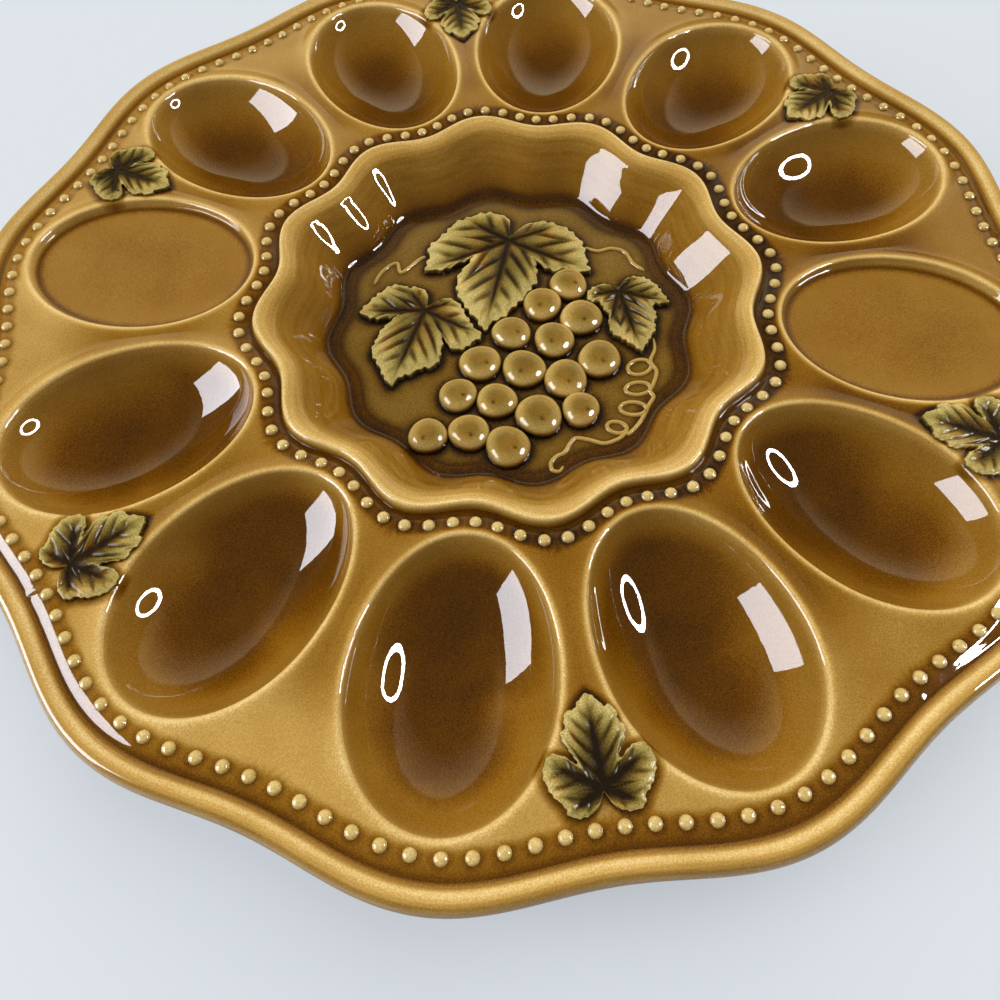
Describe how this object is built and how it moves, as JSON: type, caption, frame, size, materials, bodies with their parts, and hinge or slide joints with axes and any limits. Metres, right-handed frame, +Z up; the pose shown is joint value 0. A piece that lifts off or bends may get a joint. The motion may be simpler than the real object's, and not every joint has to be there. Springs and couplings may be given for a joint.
{
  "type": "deviled egg platter",
  "caption": "Round scalloped egg platter with oval wells round a fluted centre bowl, beaded borders and grapevine relief.",
  "frame": {"origin": "centre of the foot ring's resting face, on the table", "axes": "+Z up, +X through the middle of one of the two shaker places"},
  "size_m": [0.32, 0.32, 0.0249],
  "materials": {
    "amber_glaze": "glossy amber glaze, darker where it pools",
    "raised_glaze": "glossy amber glaze, thin and pale on raised beads and lines",
    "leaf_glaze": "glossy olive green glaze with dark veins",
    "grape_glaze": "glossy honey and olive glaze"
  },
  "bodies": {
    "root": {"platter_body": "amber_glaze", "bowl_bead_row": "raised_glaze", "rim_bead_row": "raised_glaze", "rim_leaf_1": "leaf_glaze", "rim_leaf_2": "leaf_glaze", "rim_leaf_3": "leaf_glaze", "rim_leaf_4": "leaf_glaze", "rim_leaf_5": "leaf_glaze", "rim_leaf_6": "leaf_glaze", "vine_leaf_large": "leaf_glaze", "vine_leaf_left": "leaf_glaze", "vine_leaf_right": "leaf_glaze", "grape_01": "grape_glaze", "grape_02": "grape_glaze", "grape_03": "grape_glaze", "grape_04": "grape_glaze", "grape_05": "grape_glaze", "grape_06": "grape_glaze", "grape_07": "grape_glaze", "grape_08": "grape_glaze", "grape_09": "grape_glaze", "grape_10": "grape_glaze", "grape_11": "grape_glaze", "grape_12": "grape_glaze", "grape_13": "grape_glaze", "grape_14": "grape_glaze", "grape_15": "grape_glaze", "grape_16": "grape_glaze", "tendril_left": "raised_glaze", "tendril_right": "raised_glaze", "tendril_curl": "raised_glaze"}
  },
  "joints": []
}
